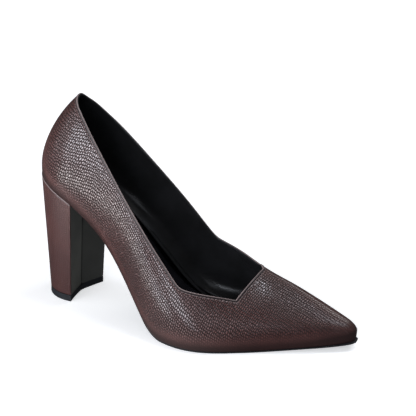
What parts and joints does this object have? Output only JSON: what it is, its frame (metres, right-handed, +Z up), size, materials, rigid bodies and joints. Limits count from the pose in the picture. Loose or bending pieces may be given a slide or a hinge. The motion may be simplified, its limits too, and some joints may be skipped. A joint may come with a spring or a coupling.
{
  "type": "high heel",
  "caption": "Pointed low-cut pump in dark brown embossed leather on a tall leather-covered block heel with a black sole",
  "frame": {"origin": "middle of the bounding box on the floor", "axes": "+X towards the toe, +Y to the medial side of a right foot, +Z up"},
  "size_m": [0.2352, 0.0846, 0.1518],
  "materials": {
    "brown_leather": "satin, finely embossed",
    "black_lining": "smooth, glossy on the footbed",
    "black_sole": "matte",
    "black_breast": "satin",
    "black_rubber": "matte"
  },
  "bodies": {
    "root": {"upper": "brown_leather", "heel_cover": "brown_leather", "insole": "black_lining", "outsole": "black_sole", "heel_block": "black_breast", "top_lift": "black_rubber"}
  },
  "joints": []
}
